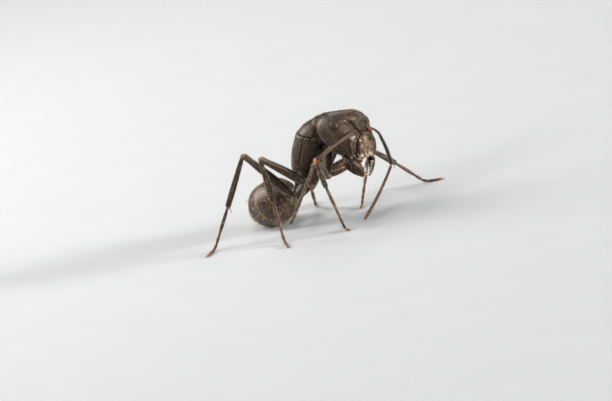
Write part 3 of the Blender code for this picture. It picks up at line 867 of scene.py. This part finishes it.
def bent(first, corner, last):
    """Path along two straight stretches with a rounded corner."""
    first, corner, last = (np.array(list(point), float) for point in (first, corner, last))
    reach = CORNER_SOFTNESS * min(np.linalg.norm(corner - first), np.linalg.norm(last - corner))
    into = corner + (first - corner) / np.linalg.norm(first - corner) * reach
    out = corner + (last - corner) / np.linalg.norm(last - corner) * reach
    t = np.linspace(0, 1, 40)[:, None]
    arc = (1 - t) ** 2 * into + 2 * t * (1 - t) * corner + t**2 * out
    return np.concatenate([[first], arc, [last]])


def spine(name, base, way, length, thick, curl):
    """Tapered spur or claw, thick at its base and bent by curl toward its tip."""
    way = way.normalized()
    path = curve([base + way * length * t + curl * (t * t) for t in np.linspace(0, 1, 7)], 30)
    taper = lambda share: thick * (1 - 0.93 * share)
    return modelled(name, 8, 14, tube(path, taper, way.orthogonal()))


LEG_RUDDY = rgb(0.17, 0.060, 0.022)
leg_finish = shell("dark_leg_shell", cuticle(
    rgb(0.013, 0.0082, 0.0060), rgb(0.027, 0.0155, 0.0105), LEG_RUDDY, cell=0.035, relief=0.0016,
    ends=((0.23, 0.06), (0.15, 0.06))))
hip_finish = shell("hip_shell", cuticle(
    SHELL_BLACK, TRUNK_WORN, LEG_RUDDY, cell=0.03, relief=0.0016, ends=((0.0, 0.0), (0.24, 0.10))))
foot_finish = shell("reddish_foot_shell", cuticle(
    rgb(0.030, 0.012, 0.008), rgb(0.065, 0.024, 0.012), rgb(0.22, 0.065, 0.020), cell=0.03,
    relief=0.0016, ends=((0.12, 0.05), (0.25, 0.12))))
claw_finish = shell("claw_horn", cuticle(
    rgb(0.10, 0.035, 0.014), rgb(0.20, 0.075, 0.028), cell=0.02, relief=0.0008))
# A redder, glossier copy of the leg shell for the two far-side thighs. Their red all over is
# painted backlight glowing through the shell; only the ruddy ends are their own colour.
backlit_thigh_finish = shell("backlit_red_thigh_shell", cuticle(
    rgb(0.036, 0.013, 0.008), rgb(0.075, 0.024, 0.012), rgb(0.20, 0.055, 0.018), cell=0.035,
    relief=0.0016, gloss=(0.16, 0.28), ends=((0.28, 0.12), (0.15, 0.06))))
BACKLIT_THIGHS = (("front", "left"), ("middle", "left"))
leg_skins = {}


def leg(pair, side):
    sign = 1 if side == "left" else -1
    ahead, out, up = LEGS[pair]["base"]
    hip_way, thigh_way, shin_way, foot_way, toe_heading = STANCE[pair, side]
    hip_length, thigh_length, shin_length, foot_length = LEGS[pair]["lengths"]
    base = trunk.world((sign * out, -ahead, up))
    hip = base + toward(*hip_way, side=sign) * hip_length
    knee = hip + toward(*thigh_way, side=sign) * thigh_length
    ankle = knee + toward(*shin_way, side=sign) * shin_length
    down, toe_way = toward(*foot_way, side=sign), toward(toe_heading, 0, side=sign)
    drop = (FOOT_HEIGHT - ankle.z) / down.z
    ball_of_foot = ankle + down * drop
    toe = ball_of_foot + toe_way * (foot_length - drop)
    plane = (knee - hip).cross(ankle - knee).normalized()
    thigh_line, shin_line = (knee - hip).normalized(), (ankle - knee).normalized()

    socket = trunk.world((sign * (out - 0.12), -ahead, up + 0.34))
    hip_path = curve([socket, base, base.lerp(hip, 0.5) + plane * 0.02,
                      hip + (hip - base).normalized() * 0.03])
    thigh_path = curve([hip - thigh_line * 0.08,
                        hip.lerp(knee, 0.5) + plane.cross(thigh_line) * -0.03,
                        knee + thigh_line * 0.05])
    shin_path = curve([knee - shin_line * 0.06, knee.lerp(ankle, 0.5), ankle + shin_line * 0.04])
    ground = Vector((0, 0, SOLE - FOOT_HEIGHT))
    foot_path = bent(ankle - down * 0.02, ball_of_foot + ground, toe + ground - toe_way * 0.10)
    foot_radius = jointed(FOOT_JOINTS, lambda share: 0.098 - 0.030 * share, pinch=0.34, reach=0.30)
    hip_radius = lambda share: read(HIP_SHAPE, share) * LEGS[pair]["hip"]
    skins = leg_skins[pair, side] = {
        "hip": tube(hip_path, hip_radius, plane, 0.92),
        "thigh": tube(thigh_path, lambda share: read(THIGH_SHAPE, share), plane, 0.88),
        "shin": tube(shin_path, lambda share: read(SHIN_SHAPE, share), plane, 0.92),
        "foot": tube(foot_path, foot_radius, plane),
    }
    pieces = {part: modelled(f"{pair}_{part}_{side}", *LEG_RINGS[part], skin)
              for part, skin in skins.items()}
    flexed = plane.cross(shin_line).normalized()
    if flexed.dot(hip - knee) < 0:
        flexed = -flexed
    spur = spine(f"{pair}_spur_{side}", ankle + flexed * 0.07, shin_line * 0.75 + flexed * 0.65,
                 SPUR_LENGTH, 0.026, shin_line * 0.05)
    joined(f"{pair}_shin_{side}", [pieces["shin"], spur])
    # The far-side thighs take the copy with the painted backlight glow.
    thigh_finish = backlit_thigh_finish if (pair, side) in BACKLIT_THIGHS else leg_finish
    fixed(pieces["hip"], hip_finish, "black_cuticle", f"{pair}_coxa_{side}")
    fixed(pieces["thigh"], thigh_finish, "dark_brown_cuticle", f"{pair}_femur_{side}")
    fixed(pieces["shin"], leg_finish, "dark_brown_cuticle", f"{pair}_tibia_{side}")
    fixed(pieces["foot"], foot_finish, "reddish_cuticle", f"{pair}_tarsus_{side}")

    heel = toe + ground - toe_way * 0.14
    across = toe_way.cross(Vector((0, 0, 1)))
    claws = []
    for turn in (-1, 1):
        way = toe_way + across * turn * 0.7 + Vector((0, 0, 0.12))
        curl = toe_way * 0.03 - across * turn * 0.05 - Vector((0, 0, 0.085))
        claws.append(spine(f"{pair}_claw_{side}_{turn}", heel, way, CLAW_LENGTH, 0.030, curl))
    fixed(joined(f"{pair}_claws_{side}", claws), claw_finish, "reddish_cuticle")


for pair in LEGS:
    for side in ("right", "left"):
        leg(pair, side)


# ---------------------------------------------------------------- feelers
# Elbowed feelers: a bead in the socket, a long bowed first joint, and a whip of eleven short joints
# with a ruddy start. The first joint is dark brown and ruddy at both ends.

FEELER_SEAT = (0.11, 0.155, 0.32)  # seat of the solid feeler, ahead, out and up, in head lengths
FEELER_STAND = 0.31  # how far above its seat the solid feeler starts
SCAPE_LENGTH = 3.3
SCAPE_WAY = {"right": (-123, -12), "left": (103, -54)}
SCAPE_BOW = {"right": 0.25, "left": 0.12}
WHIP_LENGTH = 4.0
WHIP_WAY = {"right": (170, -51), "left": (-101, -25)}
SCAPE_SHAPE = ((0.0, 0.075), (0.02, 0.085), (0.045, 0.055), (0.08, 0.060), (0.2, 0.072),
               (0.6, 0.092), (0.88, 0.108), (0.97, 0.105), (1.0, 0.08))
WHIP_JOINTS = (8, 9, 8, 8, 8, 8, 8, 8, 8, 8, 11)

feeler_finish = shell("feeler_shell", cuticle(
    rgb(0.015, 0.0095, 0.0068), rgb(0.030, 0.0175, 0.0115), rgb(0.36, 0.085, 0.016), cell=0.03,
    relief=0.0016, ends=((0.22, 0.07), (0.118, 0.03))))


def whip_recipe(wire):
    share, clouds = wire.attribute("along"), wire.noise(2500.0, 3.0)
    colour = clouds.eased(0.35, 0.7).between(rgb(0.022, 0.011, 0.008), rgb(0.050, 0.020, 0.011))
    colour = share.eased(0.94, 1.0).between(colour, rgb(0.16, 0.055, 0.020))
    colour = (1 - share.eased(0.075, 0.115)).between(colour, rgb(0.42, 0.10, 0.014))
    return {"Base Color": colour, "Roughness": 0.36 + 0.18 * clouds,
            "Normal": wire.noise(30000.0).bump(0.0015)}


whip_finish = shell("feeler_whip_shell", whip_recipe)


def bowed(start, end, bow, places):
    """Points at places on the way from start to end, pushed aside by bow at its middle."""
    return [start.lerp(end, t) + bow * (4 * t * (1 - t)) for t in places]


feeler_skins = {}
for side, sign in (("left", 1), ("right", -1)):
    seat = Vector((sign * SOCKET[1], -SOCKET[0], SOCKET[2])) * HEAD_LENGTH
    solid_seat = Vector((sign * FEELER_SEAT[1], -FEELER_SEAT[0], FEELER_SEAT[2])) * HEAD_LENGTH
    start = head.world(solid_seat + Vector((0, 0, FEELER_STAND)))
    elbow = start + toward(*SCAPE_WAY[side]) * SCAPE_LENGTH
    tip = elbow + toward(*WHIP_WAY[side]) * WHIP_LENGTH
    hinge = head.way((0, 1, 0))
    bow = head.way((sign * 0.48, 0.0, 0.88)) * SCAPE_BOW[side]
    points = [head.world(seat + Vector((0, 0, -0.05))),
              head.world(seat + Vector((sign * 0.06, 0.0, 0.10))),
              *bowed(start, elbow, bow, (0.2, 0.4, 0.55, 0.7, 0.85, 1.0))]
    scape = tube(curve(points, 90), lambda share: read(SCAPE_SHAPE, share), hinge)
    fixed(modelled(f"feeler_scape_{side}", 28, 110, scape), feeler_finish, "dark_brown_cuticle",
          f"scape_{side}")
    lash = bowed(elbow, tip, Vector((sign * 0.15, 0.0, -0.1)), np.linspace(0.015, 1.0, 8))
    thick = lambda share: 0.072 + 0.022 * share - 0.035 * step(share, 0.97, 0.1)
    whip = tube(curve(lash, 90), jointed(WHIP_JOINTS, thick, pinch=0.24, reach=0.16), hinge)
    fixed(modelled(f"feeler_whip_{side}", 22, 260, whip), whip_finish, "reddish_cuticle",
          f"funiculus_{side}")
    feeler_skins[side] = (scape, whip)


# ---------------------------------------------------------------- hairs
# Pale golden hairs of hard shell: a short down that lies back over the body, longer bristles on the
# plates' rims and the limbs, and stout pale ones round the mouth. Each is rooted in the shell.

HAIR_SIDES = 3
HAIR_TURNS = [2 * math.pi * corner / HAIR_SIDES for corner in range(HAIR_SIDES)]
HAIR_RING = [(math.cos(angle), math.sin(angle)) for angle in HAIR_TURNS]
HAIR_STAGES = ((0.0, 1.0), (0.55, 0.72))  # height and thickness of a hair's two rings
HAIR_CURL = 0.25  # how far a tip bends over, in hair lengths
HAIR_SPREAD = 0.25
LEAST_RISE = 0.06  # so that no hair runs into the shell
ROOT_PATCH = 0.003  # width of one hair's place on the coat's flat map
TRIES = 9  # places drawn for each hair that is wanted


class Coat:
    """Hairs that grow from several surfaces, kept as arrays until they are made into one mesh."""

    def __init__(self, name, surfaces, seed):
        self.name = name
        self.surfaces = surfaces
        self.dice = np.random.default_rng(seed)
        self.points, self.marks = [], []

    def grow(self, surface, count, length, thick, lift, where=None, sweep=1):
        """Hairs at places that where() weighs, raised by lift (0 flat, 1 upright), swept along (1)
        or against (-1) the surface's own run."""
        tries = count * TRIES
        share = self.dice.uniform(0.012, 0.988, tries)
        turn = self.dice.uniform(-math.pi, math.pi, tries)
        here, outward, along, chance = normals(surface, share, turn)
        if where:
            chance = chance * where(share, turn, here)
        bar = self.dice.uniform(0, 1, tries) * np.percentile(chance, 99)
        chosen = np.flatnonzero(bar < chance)[:count]
        share, turn, here, outward, along = (
            part[chosen] for part in (share, turn, here, outward, along))
        column = (len(chosen), 1)
        size = length * self.dice.uniform(0.6, 1.15, column)
        raised = np.clip(lift + self.dice.normal(0, 0.12, column), 0.08, 1.0)
        way = outward * raised + sweep * along * (1.05 - raised)
        way = way + self.dice.normal(0, HAIR_SPREAD, (len(chosen), 3)) * 0.5
        rise = np.sum(way * outward, axis=1, keepdims=True)
        way -= outward * np.minimum(rise - LEAST_RISE, 0)
        way /= np.linalg.norm(way, axis=1, keepdims=True)
        first = np.cross(way, outward + 0.3 * along)
        first /= np.maximum(np.linalg.norm(first, axis=1, keepdims=True), 1e-9)
        second = np.cross(way, first)
        bend = (sweep * along - outward * 0.35) * HAIR_CURL * size
        hair = []
        for height, taper in HAIR_STAGES:
            centre = here - outward * thick * 1.5 + way * size * height + bend * height**2
            hair += [centre + (first * x + second * y) * thick * taper for x, y in HAIR_RING]
        points = np.stack(hair + [here + way * size + bend], axis=1)
        points[..., 2] = np.maximum(points[..., 2], 0.0)
        self.points.append(points)
        tile = self.surfaces.index(surface) + (turn / (2 * math.pi) + 0.5) * 0.96 + 0.02
        root = np.stack([tile / len(self.surfaces), 0.01 + 0.98 * share], axis=1)
        patch = [(radius * x, radius * y) for radius in (0.5, 0.28) for x, y in HAIR_RING]
        self.marks.append(root[:, None, :] + np.array([*patch, (0.0, 0.0)])[None] * ROOT_PATCH)

    def made(self, look):
        points, marks = np.concatenate(self.points), np.concatenate(self.marks)
        count, corners = points.shape[:2]
        ring = [(corner, (corner + 1) % HAIR_SIDES) for corner in range(HAIR_SIDES)]
        root = tuple(reversed(range(HAIR_SIDES)))
        sides = [(a, b, b + HAIR_SIDES, a + HAIR_SIDES) for a, b in ring]
        tips = [(a + HAIR_SIDES, b + HAIR_SIDES, 2 * HAIR_SIDES) for a, b in ring]
        faces = [tuple(start + corner for corner in face)
                 for start in range(0, count * corners, corners) for face in [root, *sides, *tips]]
        mesh = bpy.data.meshes.new(self.name)
        mesh.from_pydata((points.reshape(-1, 3) * MM).tolist(), [], faces)
        mesh.update()
        loops = np.empty(len(mesh.loops), dtype=np.int64)
        mesh.loops.foreach_get("vertex_index", loops)
        flat = mesh.uv_layers.new(name="OFBake")
        flat.data.foreach_set("uv", marks.reshape(-1, 2)[loops].astype(np.float32).ravel())
        piece = bpy.data.objects.new(self.name, mesh)
        bpy.context.scene.collection.objects.link(piece)
        face_outward(piece)
        fixed(piece, look, "reddish_cuticle")


def pale_shell(name, scale, low, high, roughness):
    """Finish of clear pale shell, a little clouded."""
    recipe = lambda wire: {"Base Color": wire.noise(scale).eased(0.35, 0.7).between(low, high)}
    return finish(name, recipe, roughness=roughness, ior=1.5)


hair_finish = pale_shell("golden_hair", 2000.0, rgb(0.42, 0.30, 0.17), rgb(0.82, 0.66, 0.45),
                         0.38)
bristle_finish = pale_shell("pale_bristle", 3000.0, rgb(0.75, 0.58, 0.36), rgb(0.95, 0.88, 0.76),
                            0.3)


def off_the_eyes(share, turn, point):
    out, ahead, up = in_head(point)
    near = np.minimum(eye_share(head.own(point), 1), eye_share(head.own(point), -1))
    return (near > 1.12) * (np.hypot(out - SOCKET[1], ahead - SOCKET[0]) > 0.045)


def brow(share, turn, point):
    out, ahead, up = in_head(point)
    return off_the_eyes(share, turn, point) * (up > 0.1) * (hump(out - 0.06, 0.05) + 0.15)


def on_head(rule):
    """Places that keep rule(out, ahead, up), in head lengths."""
    return lambda share, turn, point: rule(*in_head(point))


face = on_head(lambda out, ahead, up: (up > 0.05) * (ahead > 0.19) * (out < 0.18))
face_margin = on_head(lambda out, ahead, up: (up > -0.03) * (ahead > 0.42) * (out < 0.28))
head_back = on_head(lambda out, ahead, up: (ahead < -0.36) * (up > -0.1))
throat = on_head(lambda out, ahead, up: (up < -0.12) * (out < 0.3))
jaw_skins = list(jaw_surfaces.values())
head_hairs = Coat("head_hairs", [head_skin, *jaw_skins], 11)
for count, length, thick, lift, where in (
        (3000, 0.11, 0.0019, 0.14, off_the_eyes), (260, 0.15, 0.0035, 0.45, face),
        (70, 0.17, 0.0050, 0.60, brow), (34, 0.30, 0.0080, 0.80, face),
        (50, 0.17, 0.0050, 0.50, head_back), (60, 0.30, 0.0075, 0.70, throat)):
    head_hairs.grow(head_skin, count, length, thick, lift, where)


def jaw_face(share, turn, point):
    return share > 0.25


def tooth_edge(share, turn, point):
    return (np.cos(turn) < -0.86) * (share > 0.50)


for jaw_skin in jaw_skins:
    head_hairs.grow(jaw_skin, 120, 0.10, 0.0022, 0.30, jaw_face)
    head_hairs.grow(jaw_skin, 24, 0.17, 0.0050, 0.50, jaw_face)
head_hairs.made(hair_finish)

face_bristles = Coat("face_bristles", [head_skin, *jaw_skins], 16)
face_bristles.grow(head_skin, 150, 0.22, 0.0160, 0.50, face_margin)
for jaw_skin in jaw_skins:
    face_bristles.grow(jaw_skin, 80, 0.17, 0.0125, 0.50, tooth_edge)
face_bristles.made(bristle_finish)


def on_trunk(share, turn, point):
    return 1.0 - 0.5 * (trunk.own(point)[:, 2] < -0.2)


def trunk_ridge(share, turn, point):
    x, y, z = trunk.own(point).T
    return (z > 0.1) * (np.abs(x) < 0.5) * (hump(-y - 3.0, 0.5) + hump(-y - 0.9, 0.5) + 0.25)


def scale_crest(share, turn, point):
    return hump(share - 0.55, 0.10)


trunk_hairs = Coat("trunk_hairs", [trunk_skin, waist_shape], 12)
trunk_hairs.grow(trunk_skin, 2800, 0.12, 0.0019, 0.16, on_trunk, sweep=-1)
trunk_hairs.grow(trunk_skin, 130, 0.24, 0.0058, 0.75, trunk_ridge, sweep=-1)
trunk_hairs.grow(waist_shape, 300, 0.11, 0.0028, 0.25)
trunk_hairs.grow(waist_shape, 26, 0.28, 0.0075, 0.85, scale_crest)
trunk_hairs.made(hair_finish)


def hind_rim(share, turn, point):
    return hump(share - 0.86, 0.035)


def clear_of_floor(share, turn, point):
    return (point[:, 2] > 0.25) * (share < 0.93) * (share > 0.10)


gaster_hairs = Coat("gaster_hairs", gaster_skins, 13)
for skin, down, bristles in zip(gaster_skins, (1500, 1400, 1100, 700, 450), (40, 50, 50, 40, 50)):
    gaster_hairs.grow(skin, down, 0.16, 0.0022, 0.12, clear_of_floor)
    gaster_hairs.grow(skin, bristles, 0.36, 0.0080, 0.50, hind_rim)
    gaster_hairs.grow(skin, bristles // 2, 0.32, 0.0075, 0.60, clear_of_floor)
gaster_hairs.made(hair_finish)

# Count and length of the down, then count, length and lift of the bristles
LEG_HAIRS = {"hip": (240, 0.10, 8, 0.20, 0.70), "thigh": (800, 0.10, 14, 0.20, 0.60),
             "shin": (620, 0.10, 40, 0.17, 0.45), "foot": (620, 0.085, 80, 0.12, 0.45)}
for pair in LEGS:
    skins = [*leg_skins[pair, "right"].items(), *leg_skins[pair, "left"].items()]
    leg_hairs = Coat(f"{pair}_leg_hairs", [skin for part, skin in skins], 14)
    for part, skin in skins:
        down, down_length, bristles, length, lift = LEG_HAIRS[part]
        leg_hairs.grow(skin, down, down_length, 0.0021, 0.18)
        leg_hairs.grow(skin, bristles, length, 0.0065, lift)
    leg_hairs.made(hair_finish)

feeler_hairs = Coat("feeler_hairs", [*feeler_skins["right"], *feeler_skins["left"]], 15)
for skin, count in zip(feeler_hairs.surfaces, (400, 1300) * 2):
    feeler_hairs.grow(skin, count, 0.065, 0.0021, 0.30)
feeler_hairs.made(hair_finish)


# ---------------------------------------------------------------- studio
# A plain pale floor that runs out of sight, soft light from large panels, and the camera with a
# long lens, tilted a little, at the ant's right front.

CAMERA_WAY = (-65, 13)  # azimuth and height over the horizon
CAMERA_ROLL = 16
CAMERA_DISTANCE = 240
CAMERA_SCALE = 19.5 / 612  # share of the picture's width that one millimetre at the ant takes
SENSOR = 36
AIM_OFFSET = (-0.0163, 0.0188)  # where the trunk's rear end shows, in widths from the middle

bpy.ops.object.select_all(action="DESELECT")
bpy.ops.mesh.primitive_plane_add(size=4.0)
floor = bpy.context.object
floor.name = "floor"


def floor_recipe(wire):
    low, high = rgb(0.364, 0.371, 0.378), rgb(0.384, 0.391, 0.398)
    return {"Base Color": wire.noise(300.0, 3.0).between(low, high)}


floor_finish = finish("pale_floor", floor_recipe, roughness=0.9, specular_ior_level=0.0)
floor.data.materials.append(floor_finish)

azimuth, roll = math.radians(CAMERA_WAY[0]), math.radians(CAMERA_ROLL)
back = toward(*CAMERA_WAY)
level = Vector((math.cos(azimuth), math.sin(azimuth), 0.0))
upright = back.cross(level)
right = level * math.cos(roll) - upright * math.sin(roll)
above = level * math.sin(roll) + upright * math.cos(roll)
picture_width = 1 / CAMERA_SCALE
aside = (right * AIM_OFFSET[0] + above * AIM_OFFSET[1]) * picture_width
spot = trunk_rear + back * CAMERA_DISTANCE - aside
bpy.ops.object.camera_add()
camera = bpy.context.object
camera.data.sensor_width = SENSOR
camera.data.lens = SENSOR * CAMERA_DISTANCE * CAMERA_SCALE
camera.data.clip_start, camera.data.clip_end = 0.01, 10.0
camera_turn = Matrix((right, above, back)).transposed()
camera.matrix_world = Matrix.Translation(spot * MM) @ camera_turn.to_4x4()
bpy.context.scene.camera = camera


def panel(name, way, distance, size, power, colour=(1.0, 1.0, 1.0)):
    """Square light panel that faces the ant, from an azimuth and a height."""
    from_ant = toward(*way)
    bpy.ops.object.light_add(type="AREA", location=from_ant * distance)
    light = bpy.context.object
    light.name = name
    light.rotation_mode = "QUATERNION"
    light.rotation_quaternion = from_ant.to_track_quat("Z", "Y")
    light.data.size = size
    light.data.energy = power
    light.data.color = colour
    light.visible_camera = False


panel("key_panel", (-165, 58), 0.6, 0.2, 1.5, (1.0, 0.96, 0.91))
panel("top_panel", (-50, 76), 0.6, 0.2, 1.25, (1.0, 0.97, 0.93))
panel("side_panel", (-120, 28), 0.6, 0.18, 1.9)
panel("face_panel", (-3, 12), 0.5, 0.08, 5.2)
panel("rim_panel", (100, 42), 0.6, 0.16, 0.75)
panel("left_panel", (176, 32), 0.12, 0.07, 0.17)
world = bpy.data.worlds.new("pale_room")
bpy.context.scene.world = world
world.use_nodes = True
walls = world.node_tree.nodes["Background"].inputs
walls["Color"].default_value = rgb(1.0, 0.95, 0.90)
walls["Strength"].default_value = 0.10
bpy.context.scene.view_settings.view_transform = "Standard"
